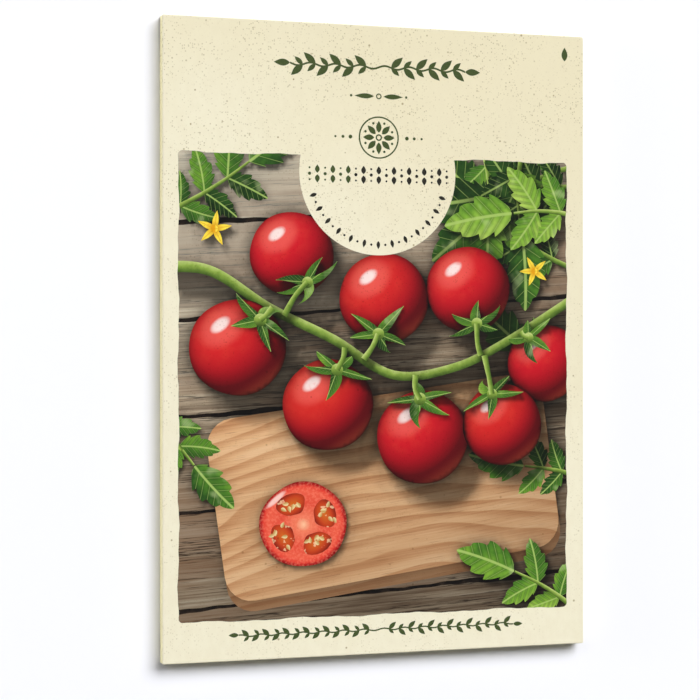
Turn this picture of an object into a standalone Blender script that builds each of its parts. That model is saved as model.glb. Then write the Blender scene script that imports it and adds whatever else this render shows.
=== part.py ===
"""A flat paper seed packet lying on its back: one folded and glued sheet of paper, and inside it
the round seeds that it holds, pooled in a single layer along the bottom fold.

Metres, +Z up. The origin is on the surface that the packet lies on, under its middle. +X runs
across the front from left to right, +Y towards its top edge, and the front faces +Z.
"""

import math
import random

import bmesh
import bpy
from mathutils import Vector

MM = 0.001

# The packet's outside, edge to edge.
WIDTH = 113.0 * MM
HEIGHT = 160.0 * MM
THICKNESS = 3.6 * MM

# The paper, the round of its folds, and the glue line between two layers of it.
PAPER = 0.15 * MM
FOLD_RADIUS = 0.375 * MM
FOLD_STEPS = 5
GLUE_LINE = 0.06 * MM

# The wings lap along the middle of the back. Wings and flaps narrow towards their free edges.
WING_OVERLAP = 12.0 * MM
WING_TAPER = 1.5 * MM
TOP_FLAP = 24.0 * MM
BOTTOM_FLAP = 17.0 * MM
FLAP_TAPER = 7.0 * MM

# The seeds: flattened balls whose layer has a half-round outline above the bottom fold.
SEED_LENGTH = 2.9 * MM
SEED_WIDTH = 2.6 * MM
SEED_DEPTH = 2.28 * MM
SEED_PITCH = 2.2 * MM
SEED_JITTER = 0.08 * MM
SEED_SIZE_SPREAD = 0.05
SEED_SIDES = 7
SEED_RINGS = 4
SEED_CLEARANCE = 0.3 * MM
POOL_HALF_WIDTH = 21.0 * MM
POOL_RISE = 12.0 * MM
SEED_DRAW = 12

# Heights of the middle of each layer of paper: the front, and the layers of the back, where the
# flaps lie lowest.
FRONT_LEVEL = THICKNESS - PAPER / 2
FLAP_LEVEL = PAPER / 2
RIGHT_WING_LEVEL = FLAP_LEVEL + PAPER + GLUE_LINE
LEFT_WING_LEVEL = RIGHT_WING_LEVEL + PAPER + GLUE_LINE

# The flat of the front panel ends where its folds start.
FLAT_X = WIDTH / 2 - PAPER / 2 - FOLD_RADIUS
FLAT_Y = HEIGHT / 2 - PAPER / 2 - FOLD_RADIUS

SEED_LOW = LEFT_WING_LEVEL + PAPER / 2 + SEED_CLEARANCE
POOL_LOW_Y = -HEIGHT / 2 + PAPER + SEED_CLEARANCE + SEED_LENGTH / 2 + SEED_JITTER


def clear_scene():
    for obj in list(bpy.data.objects):
        bpy.data.objects.remove(obj)


def material(name, colour, roughness):
    mat = bpy.data.materials.new(name)
    mat.use_nodes = True
    shader = mat.node_tree.nodes["Principled BSDF"]
    shader.inputs["Base Color"].default_value = (*colour, 1.0)
    shader.inputs["Roughness"].default_value = roughness
    shader.inputs["Metallic"].default_value = 0.0
    return mat


def mesh_object(name, bm, collection):
    mesh = bpy.data.meshes.new(name)
    bm.to_mesh(mesh)
    bm.free()
    obj = bpy.data.objects.new(name, mesh)
    collection.objects.link(obj)
    return obj


def quarter_turn():
    """(sine, 1 - cosine) along a quarter of a circle, from its start to its end."""
    turns = [math.pi / 2 * step / FOLD_STEPS for step in range(FOLD_STEPS + 1)]
    return [(math.sin(turn), 1 - math.cos(turn)) for turn in turns]


def fold_profile(back_level, flap_length):
    """(outward, height, share of the taper) along the sheet from the edge of the front panel:
    round the front fold, down the wall, round the back fold and in to the flap's free edge."""
    points = []
    for along, drop in quarter_turn()[1:]:
        points.append((FOLD_RADIUS * along, FRONT_LEVEL - FOLD_RADIUS * drop, 0.0))
    for along, drop in reversed(quarter_turn()):
        points.append((FOLD_RADIUS * along, back_level + FOLD_RADIUS * drop, 0.0))
    points.append((-flap_length, back_level, 1.0))
    return points


def fold_edge(bm, edge, outward, profile, taper):
    """Extrudes one edge of the front panel along a fold profile."""
    middle = (edge.verts[0].co + edge.verts[1].co) / 2
    along = (edge.verts[1].co - edge.verts[0].co).normalized()
    half = edge.calc_length() / 2
    for out, height, share in profile:
        made = bmesh.ops.extrude_edge_only(bm, edges=[edge])
        edge = next(item for item in made["geom"] if isinstance(item, bmesh.types.BMEdge))
        for vert in edge.verts:
            side = math.copysign(1.0, (vert.co - middle).dot(along))
            vert.co = middle + along * side * (half - share * taper) + outward * out
            vert.co.z = height


def paper_packet(collection):
    """One cross-shaped sheet: the front panel, two side wings that lap down the middle of the
    back, and a flap at the top and at the bottom that closes over them."""
    bm = bmesh.new()
    bmesh.ops.create_grid(bm, x_segments=1, y_segments=1, size=1.0)
    for vert in bm.verts:
        vert.co = Vector((vert.co.x * FLAT_X, vert.co.y * FLAT_Y, FRONT_LEVEL))
    wing = FLAT_X + WING_OVERLAP / 2
    folds = (
        (Vector((-1, 0, 0)), LEFT_WING_LEVEL, wing, WING_TAPER),
        (Vector((1, 0, 0)), RIGHT_WING_LEVEL, wing, WING_TAPER),
        (Vector((0, -1, 0)), FLAP_LEVEL, BOTTOM_FLAP, FLAP_TAPER),
        (Vector((0, 1, 0)), FLAP_LEVEL, TOP_FLAP, FLAP_TAPER),
    )
    panel_edges = list(bm.edges)
    for outward, level, length, taper in folds:
        edge = max(panel_edges, key=lambda e: (e.verts[0].co + e.verts[1].co).dot(outward))
        fold_edge(bm, edge, outward, fold_profile(level, length), taper)
    bmesh.ops.recalc_face_normals(bm, faces=bm.faces)
    obj = mesh_object("paper_packet", bm, collection)
    obj.data.materials.append(material("packet_paper", (0.87, 0.80, 0.60), 0.8))
    sheet = obj.modifiers.new("paper", "SOLIDIFY")
    sheet.thickness = PAPER
    sheet.offset = 0.0
    sheet.use_even_offset = True
    return obj


def seed(name, x, y, draw, collection):
    """One seed: a low ball, sized and turned by the draw."""
    bm = bmesh.new()
    bmesh.ops.create_uvsphere(bm, u_segments=SEED_SIDES, v_segments=SEED_RINGS, radius=0.5)
    size = 1 - draw.uniform(0, SEED_SIZE_SPREAD)
    turn = draw.uniform(0, 2 * math.pi)
    for vert in bm.verts:
        along = vert.co.x * SEED_LENGTH * size
        across = vert.co.y * SEED_WIDTH * size
        vert.co = Vector((
            x + along * math.cos(turn) - across * math.sin(turn),
            y + along * math.sin(turn) + across * math.cos(turn),
            SEED_LOW + SEED_DEPTH * size * (0.5 + vert.co.z),
        ))
    return mesh_object(name, bm, collection)


def seed_places(draw):
    """Places of the seeds, row on row in a triangular pattern, inside a half ellipse that stands
    on the bottom fold."""
    row_pitch = SEED_PITCH * math.sqrt(3) / 2
    places = []
    for row in range(int(POOL_RISE / row_pitch) + 1):
        reach = POOL_HALF_WIDTH * math.sqrt(1 - (row * row_pitch / POOL_RISE) ** 2)
        shift = 0.5 * (row % 2)
        columns = int(reach / SEED_PITCH + 1)
        for column in range(-columns, columns + 1):
            x = (column + shift) * SEED_PITCH
            if abs(x) <= reach:
                places.append((
                    x + draw.uniform(-SEED_JITTER, SEED_JITTER),
                    POOL_LOW_Y + row * row_pitch + draw.uniform(-SEED_JITTER, SEED_JITTER),
                ))
    return places


def seeds(collection):
    """The layer of seeds: each is its own ball, and one Boolean joins them where they touch."""
    draw = random.Random(SEED_DRAW)
    loose = bpy.data.collections.new("loose_seeds")
    bpy.context.scene.collection.children.link(loose)
    places = seed_places(draw)
    layer = seed("seeds", *places[0], draw, collection)
    layer.data.materials.append(material("seed_coat", (0.30, 0.15, 0.08), 0.55))
    for index, place in enumerate(places[1:]):
        seed(f"loose_seed_{index:03d}", *place, draw, loose)
    union = layer.modifiers.new("join", "BOOLEAN")
    union.operation = "UNION"
    union.operand_type = "COLLECTION"
    union.collection = loose
    union.solver = "EXACT"
    graph = bpy.context.evaluated_depsgraph_get()
    joined = bpy.data.meshes.new_from_object(layer.evaluated_get(graph))
    layer.modifiers.clear()
    layer.data = joined
    for obj in list(loose.objects):
        bpy.data.objects.remove(obj)
    bpy.data.collections.remove(loose)
    layer.data.shade_smooth()
    return layer


def main():
    clear_scene()
    packet = bpy.data.collections.new("seed_packet")
    bpy.context.scene.collection.children.link(packet)
    paper_packet(packet)
    seeds(packet)


main()
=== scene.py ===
import math
import random

import bmesh
import bpy
import numpy as np
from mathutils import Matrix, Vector
from mathutils.geometry import delaunay_2d_cdt


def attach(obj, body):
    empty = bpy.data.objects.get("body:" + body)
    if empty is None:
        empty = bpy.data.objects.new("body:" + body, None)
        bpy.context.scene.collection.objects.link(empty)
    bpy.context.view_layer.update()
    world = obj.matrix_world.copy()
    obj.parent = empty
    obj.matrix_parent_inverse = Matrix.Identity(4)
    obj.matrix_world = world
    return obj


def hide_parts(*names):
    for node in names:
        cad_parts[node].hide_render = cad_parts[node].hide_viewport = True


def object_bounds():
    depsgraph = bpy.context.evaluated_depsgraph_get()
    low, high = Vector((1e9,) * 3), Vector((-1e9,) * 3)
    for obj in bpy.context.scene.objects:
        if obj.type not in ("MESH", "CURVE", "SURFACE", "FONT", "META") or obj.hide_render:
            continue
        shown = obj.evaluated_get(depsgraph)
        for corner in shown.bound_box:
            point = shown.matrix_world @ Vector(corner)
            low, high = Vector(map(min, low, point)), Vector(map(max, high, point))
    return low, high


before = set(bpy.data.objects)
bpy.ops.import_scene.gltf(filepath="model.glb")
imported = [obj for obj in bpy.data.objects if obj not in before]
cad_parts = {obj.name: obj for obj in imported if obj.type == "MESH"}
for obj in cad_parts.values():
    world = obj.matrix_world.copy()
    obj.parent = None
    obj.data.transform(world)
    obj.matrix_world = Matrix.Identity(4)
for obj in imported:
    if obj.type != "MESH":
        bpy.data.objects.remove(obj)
CAD_LOW, CAD_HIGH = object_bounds()

# The looks of a flat paper seed packet that lies on its back. Metres, in the frame of the solids:
# +X runs across the front, +Y to its top edge. Places on the front are in millimetres from its
# lower left corner.
MM = 0.001
WIDTH = CAD_HIGH.x - CAD_LOW.x
HEIGHT = CAD_HIGH.y - CAD_LOW.y
THICKNESS = CAD_HIGH.z - CAD_LOW.z
WIDTH_MM = WIDTH / MM
HEIGHT_MM = HEIGHT / MM

# The folded sheet. Levels are those of its outer side on the back.
PAPER = 0.15 * MM
GLUE_LINE = 0.06 * MM
FOLD_RADIUS = 0.18 * MM
BACK_FOLD_RISE = 0.06 * MM
FOLD_STEPS = 6
CORNER_STEPS = 6
SHEET_STEP = 2.0 * MM
FLAP_STEP = 3.0 * MM
CREASE_STEPS = (0.25 * MM, 0.7 * MM)
SHARP_ANGLE = 50
FLAP_LEVEL = 0.0
RIGHT_WING_LEVEL = PAPER + GLUE_LINE
LEFT_WING_LEVEL = 2 * (PAPER + GLUE_LINE)
WING_OVERLAP = 12.0 * MM
WING_TAPER = 1.5 * MM
TOP_FLAP = 24.0 * MM
BOTTOM_FLAP = 17.0 * MM
FLAP_TAPER = 7.0 * MM
FLAP_ROUND = 3.0 * MM

# Beside the walls, where no flap is under them, the wings come down to the floor: over this width,
# and over this length from either end.
SETTLE_WIDTH = 3.0 * MM
SETTLE_LENGTH = 14.0 * MM

# How far each of the packet's corners is worn round: bottom and top on the left, then the right.
CORNER_WEAR = ((0.3 * MM, 0.0), (0.3 * MM, 0.8 * MM))

# How the front panel ripples between its folds: height, distance over which it starts, and the
# direction and length of each wave in millimetres.
RIPPLE = 0.13 * MM
RIPPLE_START = 16.0
RIPPLE_WAVES = ((0.9, 0.5, 74.0, 0.6), (-0.4, 1.0, 53.0, 2.1), (1.0, -0.7, 31.0, 4.0))

# The print lies this far over the paper.
INK_STEP = 0.007 * MM

# The printed picture in millimetres: its window (left, bottom, right, top), the waves of the
# window's edge as size, length and phase, and the round badge of bare paper that bites into it.
WINDOW = (3.9, 10.0, 108.1, 126.45)
WINDOW_CORNER = 1.1
WINDOW_WAVES = ((0.17, 27.0, 0.4), (0.10, 11.0, 2.0), (0.05, 4.3, 5.0))
BADGE_PLACE = (55.9, 122.5)
BADGE_RADIUS = 21.0

# How far apart the points of the picture, of the ornaments and of a rounded box are, and the
# number of steps between two points of a ribbon's path.
PICTURE_STEP = 1.1
ORNAMENT_STEP = 1.6
BOX_STEP = 1.0
RIBBON_STEPS = 8

# The light in the picture: the way it comes from, how far it spreads aside, how steeply it falls,
# how far its shadows are looked for, and how deep they and the shade of close neighbours are.
LIGHT_FROM = (-0.6, 0.8)
LIGHT_SPREAD = (-0.24, -0.12, 0.0, 0.12, 0.24)
LIGHT_SLOPE = 1.25
SHADOW_STEPS = (0.7, 1.3, 2.1, 3.2, 4.6, 6.4, 8.8, 12.0)
SHADOW_DEPTH = 0.62
CLOSED_TURNS = 10
CLOSED_STEPS = (1.2, 2.8, 6.0)
CLOSED_DEPTH = 0.95
SELF_CLEARANCE = 0.7
RELIEF_STEP = 0.5
RELIEF_MARGIN = 14.0
BALL_KINDS = ("fruit",)

# What is in the picture. Planks run across it, over them lies a board, and on that the fruits of
# a vine, which has a tone, a height over the table and a bulge.
PICTURE_DRAW = 5
PLANK_COUNT = 6
PLANK_START = (-10.0, -12.0)
PLANK_LENGTH = 135
PLANK_WIDTH = 24.0
PLANK_TURN = 3.5
PLANK_GAP = 1.1
BOARD = (13.0, 20.0, 104.0, 66.0)
BOARD_CORNER = 7.0
BOARD_TURN = 8.0
BOARD_DROP = (0.5, -2.6)
BOARD_TOP = 2.4
VINE = ((-2, 98), (12, 97), (27, 88), (44, 80), (60, 71), (77, 73), (92, 80), (112, 92))
VINE_WIDTHS = (3.0, 2.6, 2.4, 2.4, 2.3, 2.2, 2.2, 2.4)
VINE_LOOK = (0.55, 15.0, 1.3)

# Fruits: x, y, radius, tone, the way their stalk's spot faces and its tilt, and the stalk's end.
BACK_FRUITS = (
    (33.0, 101.5, 11.0, 0.35, -60, 48, (31, 86)),
    (57.5, 90.5, 12.0, 0.6, -100, 50, (52, 75)),
    (80.5, 93.0, 11.5, 0.45, -75, 52, (84, 76)),
    (102.0, 74.0, 10.5, 0.3, 125, 50, (95, 82)),
)
FRONT_FRUITS = (
    (19.0, 78.0, 12.5, 0.55, 50, 46, (28, 88)),
    (42.5, 63.5, 12.0, 0.7, 75, 50, (47, 78)),
    (68.0, 55.0, 12.5, 0.4, 95, 52, (66, 71)),
    (90.0, 58.0, 11.0, 0.65, 110, 50, (85, 76)),
)

# How much higher the front fruits lie, the halved one's place and radius, and a pip's length and
# half width.
FRONT_LIFT = 3.0
HALVED_FRUIT = (36.0, 33.5, 11.5)
PIP_SIZE = (1.7, 0.5)

# Leaves: place of the stalk's start, its turn and length, size of a leaflet, tone, height over
# the table, pairs of leaflets, and how far the stalk turns at each pair.
BACK_LEAVES = (
    ((-2, 110), 25, 28, 16, 0.35, 1.0, 3, 4),
    ((112, 98), 158, 34, 18, 0.2, 1.0, 3, -7),
    ((112, 126), -165, 30, 17, 0.35, 1.5, 3, 8),
    ((84, 131), -75, 18, 15, 0.55, 2.0, 2, -8),
    ((113, 120), 178, 26, 19, 0.15, 0.5, 3, 5),
    ((96, 131), -100, 24, 17, 0.3, 1.5, 2, 9),
    ((112, 66), 150, 20, 16, 0.3, 1.0, 2, -6),
    ((112, 44), 165, 16, 14, 0.3, 1.0, 2, 4),
    ((-2, 64), -62, 18, 13, 0.4, 1.0, 2, 5),
)
FRONT_LEAVES = (
    ((113, 112), 168, 20, 17, 0.8, 6.0, 2, 9),
    ((112, 8), 142, 22, 15, 0.6, 3.0, 2, 6),
)
LEAF_TEETH = 4.0
TOOTH_DEPTH = 0.3

# Blossoms: x, y, size and turn.
BLOSSOMS = ((13.0, 107.5, 4.6, 10), (99.0, 98.0, 4.2, 40))
BLOSSOM_HEIGHT = 5.0

# The ornaments on the bare paper. A sprig has its start and end, height, pitch of the leaves, a
# leaf's length and width, and the stem's stroke. The corner leaf has its place, turn, length and
# width.
TITLE_SPRIG = (28.3, 83.8, 149.4, 3.3, 4.2, 1.75, 0.5)
FOOT_SPRIG = (16.6, 95.6, 6.2, 2.7, 2.6, 1.15, 0.36)
SPRIG_WAVE = 0.10
SPRIG_LEAN = 42.0
ORNAMENT_MIDDLE = BADGE_PLACE[0] + 0.15
MARK_HEIGHT = 142.0
ROSETTE_HEIGHT = 131.5
ROSETTE_RADIUS = 5.4
ROSETTE_PETALS = 8
BAND_HEIGHT = 121.9
BAND_PITCH = 2.05
BAND_COUNT = 9
ARC_COUNT = 12
ARC_PITCH = 5.9
ARC_RADIUS = 18.4
ARC_LEAF = 2.1
CORNER_LEAF = (107.6, 153.3, 90, 3.6, 1.7)

# Roughness and specular level of each surface, how strong the paper's flecks are in it, and the
# power that the pictured light is raised to.
PAPER_GLOSS = (0.82, 0.25)
SEED_GLOSS = (0.55, 0.4)
PRINT_GLOSS = (0.7, 0.14)
FLOOR_GLOSS = (0.9, 0.0)
PAPER_FLECKS = 0.66
PICTURE_FLECKS = 0.4
INK_FLECKS = 0.25
SHADOW_CONTRAST = 1.35

# Colours of 0 to 255, from each surface's darkest place to its lightest or from its middle to its
# rim, and those of the floor as shares of white. An ink has its full and its thin colour.
FLECK_COLOUR = (140, 120, 34)
SKIN_COLOURS = (
    (0.0, (96, 5, 14)), (0.25, (140, 8, 22)), (0.5, (178, 12, 30)),
    (0.72, (202, 20, 36)), (0.9, (220, 42, 46)), (1.0, (230, 64, 58)),
)
LEAF_COLOURS = (
    (0.05, (18, 38, 16)), (0.3, (44, 84, 28)), (0.5, (78, 128, 38)),
    (0.7, (122, 168, 52)), (0.95, (176, 206, 92)),
)
STEM_COLOURS = (
    (0.0, (44, 62, 20)), (0.3, (92, 122, 44)), (0.55, (140, 168, 70)), (0.85, (196, 212, 128)),
)
PLANK_COLOURS = (
    (0.18, (66, 48, 34)), (0.36, (124, 102, 80)), (0.5, (170, 150, 124)),
    (0.66, (206, 192, 166)), (0.85, (226, 218, 196)),
)
BOARD_COLOURS = (
    (0.1, (150, 98, 60)), (0.35, (190, 138, 94)), (0.6, (214, 168, 122)), (0.9, (232, 196, 154)),
)
FLESH_COLOURS = (
    (0.0, (246, 190, 150)), (0.16, (236, 120, 88)), (0.5, (222, 74, 54)), (0.8, (232, 92, 68)),
    (0.9, (222, 62, 48)), (0.96, (168, 18, 22)), (1.0, (128, 8, 14)),
)
JELLY_COLOURS = ((0.0, (206, 104, 34)), (0.6, (192, 62, 26)), (1.0, (120, 22, 14)))
INKS = {"olive": ((66, 80, 42), (96, 108, 66)), "black": ((40, 38, 32), (84, 80, 66))}
FLOOR_COLOURS = ((0.93, 0.937, 0.99, 1), (0.94, 0.947, 0.995, 1))

# The floor, and how far below the packet it lies.
FLOOR_REACH = 4.0
FLOOR_GAP = 0.02 * MM

# The surround's share of white overhead, and the sines of the heights between which it dims.
SURROUND_TOP = 0.03
SURROUND_HEIGHTS = (0.10, 0.25)

# The key and fill lights are flat soft boxes, high up at the upper right and the upper left, that
# look straight down: place, size across and up, power. The other two are low, and almost only the
# packet's walls face them.
KEY_LIGHT = ((5.9, 8.0, 8.0), (13.4, 10.9), 3163.0)
FILL_LIGHT = ((-8.9, 6.2, 8.0), (5.6, 5.6), 430.0)
LEFT_LIGHT = ((-1.7, 0.2, 0.17), (0.4, 0.4), 8.8)
FRONT_LIGHT = ((0.2, -1.7, 0.13), (0.4, 0.4), 1.0)
LOW_LIGHT_COLOUR = (0.95, 0.94, 1.0)

# The camera that the photograph was taken with: place, turn in degrees, and lens for 36 mm.
CAMERA_PLACE = (-0.1566, -0.0023, 0.4650)
CAMERA_TURN = (-0.034, -17.832, -0.010)
CAMERA_LENS = 98.3
CAMERA_SENSOR = 36.0


def srgb(red, green, blue):
    """A colour of 0 to 255 as linear red, green, blue and alpha."""
    shares = [value / 255 for value in (red, green, blue)]
    return (*(s / 12.92 if s <= 0.04045 else ((s + 0.055) / 1.055) ** 2.4 for s in shares), 1.0)


def smooth_step(t):
    t = np.clip(t, 0.0, 1.0)
    return t * t * (3 - 2 * t)


def front_height(x, y):
    """The height of the front's outer side at a place in millimetres on it, in metres."""
    x, y = np.asarray(x, float), np.asarray(y, float)
    edge = np.minimum(np.minimum(x, WIDTH_MM - x), np.minimum(y, HEIGHT_MM - y))
    waves = sum(
        np.sin(2 * math.pi * (x * across + y * up) / length + phase)
        for across, up, length, phase in RIPPLE_WAVES
    ) / len(RIPPLE_WAVES)
    return CAD_LOW.z + THICKNESS + RIPPLE * waves * smooth_step((edge - 1.0) / RIPPLE_START)


def placed(name, data):
    """A new object of the scene."""
    made = bpy.data.objects.new(name, data)
    bpy.context.scene.collection.objects.link(made)
    return made


class Nodes:
    """The nodes of a material or of the world, with short calls for them."""

    def __init__(self, owner, shader="Principled BSDF", space="Object"):
        owner.use_nodes = True
        self.owner = owner
        self.tree = owner.node_tree
        self.shader = self.tree.nodes[shader]
        self.place = self.node("ShaderNodeTexCoord").outputs[space]

    def node(self, kind, inputs=(), **settings):
        made = self.tree.nodes.new(kind)
        for name, value in settings.items():
            setattr(made, name, value)
        for key, value in dict(inputs).items():
            self.put(made.inputs[key], value)
        return made

    def put(self, socket, value):
        """Links a socket to a node's output, or sets its value."""
        if isinstance(value, bpy.types.NodeSocket):
            self.tree.links.new(value, socket)
        else:
            socket.default_value = value

    def math(self, operation, *values):
        return self.node("ShaderNodeMath", enumerate(values), operation=operation).outputs[0]

    def times(self, first, second):
        return self.math("MULTIPLY", first, second)

    def total(self, *terms, bias=0.0):
        """The sum of values, each with its weight."""
        result = bias
        for value, weight in terms:
            result = self.math("MULTIPLY_ADD", value, weight, result)
        return result

    def squares(self, u, v, weight=1):
        """u squared, and v squared by its weight."""
        return self.total((self.times(u, u), 1), (self.times(v, v), weight))

    def ramp(self, value, low, high, start=0.0, end=1.0):
        """A smooth rise from start to end as value goes from low to high."""
        names = ("Value", "From Min", "From Max", "To Min", "To Max")
        inputs = zip(names, (value, low, high, start, end))
        return self.node("ShaderNodeMapRange", inputs, interpolation_type="SMOOTHSTEP").outputs[0]

    def mix(self, share, first, second, blend="MIX"):
        made = self.node("ShaderNodeMix", data_type="RGBA", blend_type=blend)
        self.put(made.inputs[0], share)
        self.put(made.inputs[6], first)
        self.put(made.inputs[7], second)
        return made.outputs[2]

    def dimmed(self, colour, light):
        return self.mix(1.0, colour, light, "MULTIPLY")

    def colours(self, value, stops):
        """Colours of 0 to 255 at places from 0 to 1, blended between them."""
        made = self.node("ShaderNodeValToRGB", {"Fac": value})
        bar = made.color_ramp.elements
        while len(bar) < len(stops):
            bar.new(0.5)
        for mark, (place, colour) in zip(bar, stops):
            mark.position = place
            mark.color = srgb(*colour)
        return made.outputs[0]

    def split(self, vector):
        return self.node("ShaderNodeSeparateXYZ", {"Vector": vector}).outputs

    def joined(self, x, y, z):
        return self.node("ShaderNodeCombineXYZ", {0: x, 1: y, 2: z}).outputs[0]

    def read(self, name, output):
        return self.node("ShaderNodeAttribute", attribute_name=name).outputs[output]

    def scaled(self, place, scale, turn=0.0):
        """Places, turned about Z by so many degrees and scaled along each axis."""
        inputs = {"Vector": place, "Rotation": (0.0, 0.0, math.radians(turn)), "Scale": scale}
        return self.node("ShaderNodeMapping", inputs, vector_type="POINT").outputs[0]

    def lumps(self, place, detail, roughness=0.55):
        """Noise of 0 to 1 over some places."""
        inputs = {"Vector": place, "Scale": 1.0, "Detail": detail, "Roughness": roughness}
        return self.node("ShaderNodeTexNoise", inputs).outputs["Fac"]

    def streaks(self, place, scale, detail, roughness):
        return self.lumps(self.scaled(place, scale), detail, roughness)

    def sized(self, size, turn, stretch):
        """Places on the object in units of a size in metres, stretched along each axis."""
        return self.scaled(self.place, tuple(1 / (size * along) for along in stretch), turn)

    def noise(self, size, detail=3.0, turn=0.0, stretch=(1, 1, 1)):
        """Noise of 0 to 1 whose lumps are about size metres, longer by stretch."""
        return self.lumps(self.sized(size, turn, stretch), detail)

    def cells(self, size, turn=0.0, stretch=(1, 1, 1)):
        """Distance from the nearest of scattered points, in sizes, and each one's own value."""
        inputs = {"Vector": self.sized(size, turn, stretch), "Scale": 1.0}
        made = self.node("ShaderNodeTexVoronoi", inputs)
        own = self.node("ShaderNodeSeparateColor", {"Color": made.outputs["Color"]})
        return made.outputs["Distance"], own.outputs[0]

    def spot(self, u, v, centre, reach, turn):
        """1 in the middle of a turned oval spot, 0 outside it."""
        cos, sin = math.cos(math.radians(turn)), math.sin(math.radians(turn))
        x, y = centre
        a, b = reach
        along = self.total((u, cos / a), (v, sin / a), bias=-(x * cos + y * sin) / a)
        across = self.total((u, -sin / b), (v, cos / b), bias=(x * sin - y * cos) / b)
        return self.ramp(self.squares(along, across), 0.15, 1.0, 1.0, 0.0)

    def specks(self, size, radius, share, turn=0.0, stretch=(1, 1, 1)):
        """1 inside small specks, in a share of the cells, each with its own radius."""
        distance, own = self.cells(size, turn, stretch)
        reach = self.ramp(own, 1 - share, 1.0, 0.0, radius)
        return self.ramp(self.math("SUBTRACT", reach, distance), 0.0, radius * 0.35)

    def fleck_mask(self):
        """The dark flecks of the natural paper: dust in clouds, grains, and a few short fibres."""
        cloud = self.ramp(self.noise(11 * MM, 3.0), 0.38, 0.60, 0.15, 1.0)
        dust = self.times(self.specks(0.50 * MM, 0.46, 0.75), cloud)
        grit = self.times(self.specks(1.15 * MM, 0.25, 0.60), cloud)
        grains = self.specks(3.0 * MM, 0.125, 0.50)
        fibres = self.specks(6.1 * MM, 0.055, 0.22, 35, (2.2, 0.9, 1))
        upwards = self.ramp(self.split(self.place)[1], -60 * MM, 30 * MM, 0.75, 1.6)
        light = self.times(self.total((dust, 0.40), (grit, 0.46)), upwards)
        return self.math("MAXIMUM", light, self.times(self.math("MAXIMUM", grains, fibres), 0.9))

    def grain(self, colour, strength):
        """Puts flecks and a fine paper grain on a colour, and finishes the material with it."""
        flecks = self.times(self.fleck_mask(), strength)
        flecked = self.mix(flecks, colour, srgb(*FLECK_COLOUR), "MULTIPLY")
        return self.finished(flecked, self.noise(0.35 * MM, 4.0), 0.35, 0.02 * MM)

    def finished(self, colour, bumps, strength, distance):
        """The material, with its colour and the bumps on its surface."""
        self.put(self.shader.inputs["Base Color"], colour)
        inputs = {"Height": bumps, "Strength": strength, "Distance": distance}
        self.put(self.shader.inputs["Normal"], self.node("ShaderNodeBump", inputs).outputs[0])
        return self.owner


def surface(name, roughness, level):
    """The nodes of a new material, with its roughness and specular level."""
    n = Nodes(bpy.data.materials.new(name))
    n.put(n.shader.inputs["Roughness"], roughness)
    n.put(n.shader.inputs["Specular IOR Level"], level)
    return n


def paper_material():
    n = surface("packet_paper", *PAPER_GLOSS)
    x, y, z = n.split(n.place)
    # Painted shade: the front's paper tone fades from lighter at the lower left to darker at the
    # upper right, a little unevenly.
    slant = n.total((x, 6.0), (y, 11.0), (n.noise(40 * MM, 1.0), 0.8), bias=-0.35)
    tone = n.mix(n.ramp(slant, 0.0, 1.0), srgb(238, 232, 206), srgb(231, 222, 190))
    felt = n.ramp(n.noise(2.6 * MM, 4.0, 0, (0.8, 1.5, 1)), 0.3, 0.7)
    tone = n.mix(n.times(felt, 0.22), tone, srgb(224, 214, 183))
    side = n.math("SUBTRACT", WIDTH / 2, n.math("ABSOLUTE", x))
    end = n.math("SUBTRACT", HEIGHT / 2, n.math("ABSOLUTE", y))
    edge = n.math("MINIMUM", side, end)
    # Partly wear, partly painted shade: within 0.7 mm of the edges the paper is mixed in patches
    # towards a duller tone, which also tones down the highlight on the folds.
    rubbed_and_shaded = n.ramp(edge, 0.1 * MM, 0.7 * MM, 1.0, 0.0)
    worn_and_shaded = n.times(rubbed_and_shaded, n.ramp(n.noise(1.6 * MM, 3.0), 0.3, 0.6, 0.3, 0.85))
    tone = n.mix(worn_and_shaded, tone, srgb(231, 224, 200))
    # Painted shade: the walls, below the front and within 0.3 mm of the edges, get a duller,
    # yellower copy of the paper tone.
    low = n.ramp(z, THICKNESS * 0.8, THICKNESS * 0.95, 1.0, 0.0)
    wall = n.times(low, n.ramp(edge, 0.0, 0.3 * MM, 0.8, 0.0))
    return n.grain(n.mix(wall, tone, srgb(236, 228, 176)), PAPER_FLECKS)


def seed_material():
    n = surface("seed_coat", *SEED_GLOSS)
    mottle = n.ramp(n.noise(2.4 * MM, 2.0), 0.35, 0.65)
    tone = n.mix(mottle, srgb(126, 74, 44), srgb(170, 112, 70))
    pits = n.cells(0.16 * MM)[0]
    # Painted shade: the coat is darker towards the middle of each pit, where the bumps are lowest.
    tone = n.mix(n.ramp(pits, 0.1, 0.5, 0.5, 0.0), tone, srgb(74, 40, 24))
    return n.finished(tone, pits, 0.5, 0.03 * MM)


def steps(length, step, creases=()):
    """Distances from 0 to length about a step apart, with closer ones at both ends."""
    start = max(creases, default=0.0)
    inner = length - 2 * start
    count = max(1, round(inner / step))
    body = [start + inner * i / count for i in range(count + 1)]
    ends = [0.0, *creases[:-1]] if creases else []
    return [*ends, *body, *(length - end for end in reversed(ends))]


def quarter_turn():
    """(sine, 1 - cosine) along a quarter of a circle, from its start to its end."""
    turns = [math.pi / 2 * step / FOLD_STEPS for step in range(FOLD_STEPS + 1)]
    return [(math.sin(turn), 1 - math.cos(turn)) for turn in turns]


def fold_profile(back_level):
    """(outward, height) round the front fold, down the wall and round the back fold."""
    top = CAD_LOW.z + THICKNESS
    points = [(FOLD_RADIUS * out, top - FOLD_RADIUS * drop) for out, drop in quarter_turn()[1:]]
    points.append((FOLD_RADIUS, (top + back_level) / 2))
    for out, drop in reversed(quarter_turn()):
        points.append((FOLD_RADIUS * out, back_level + BACK_FOLD_RISE * drop))
    return points


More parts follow.
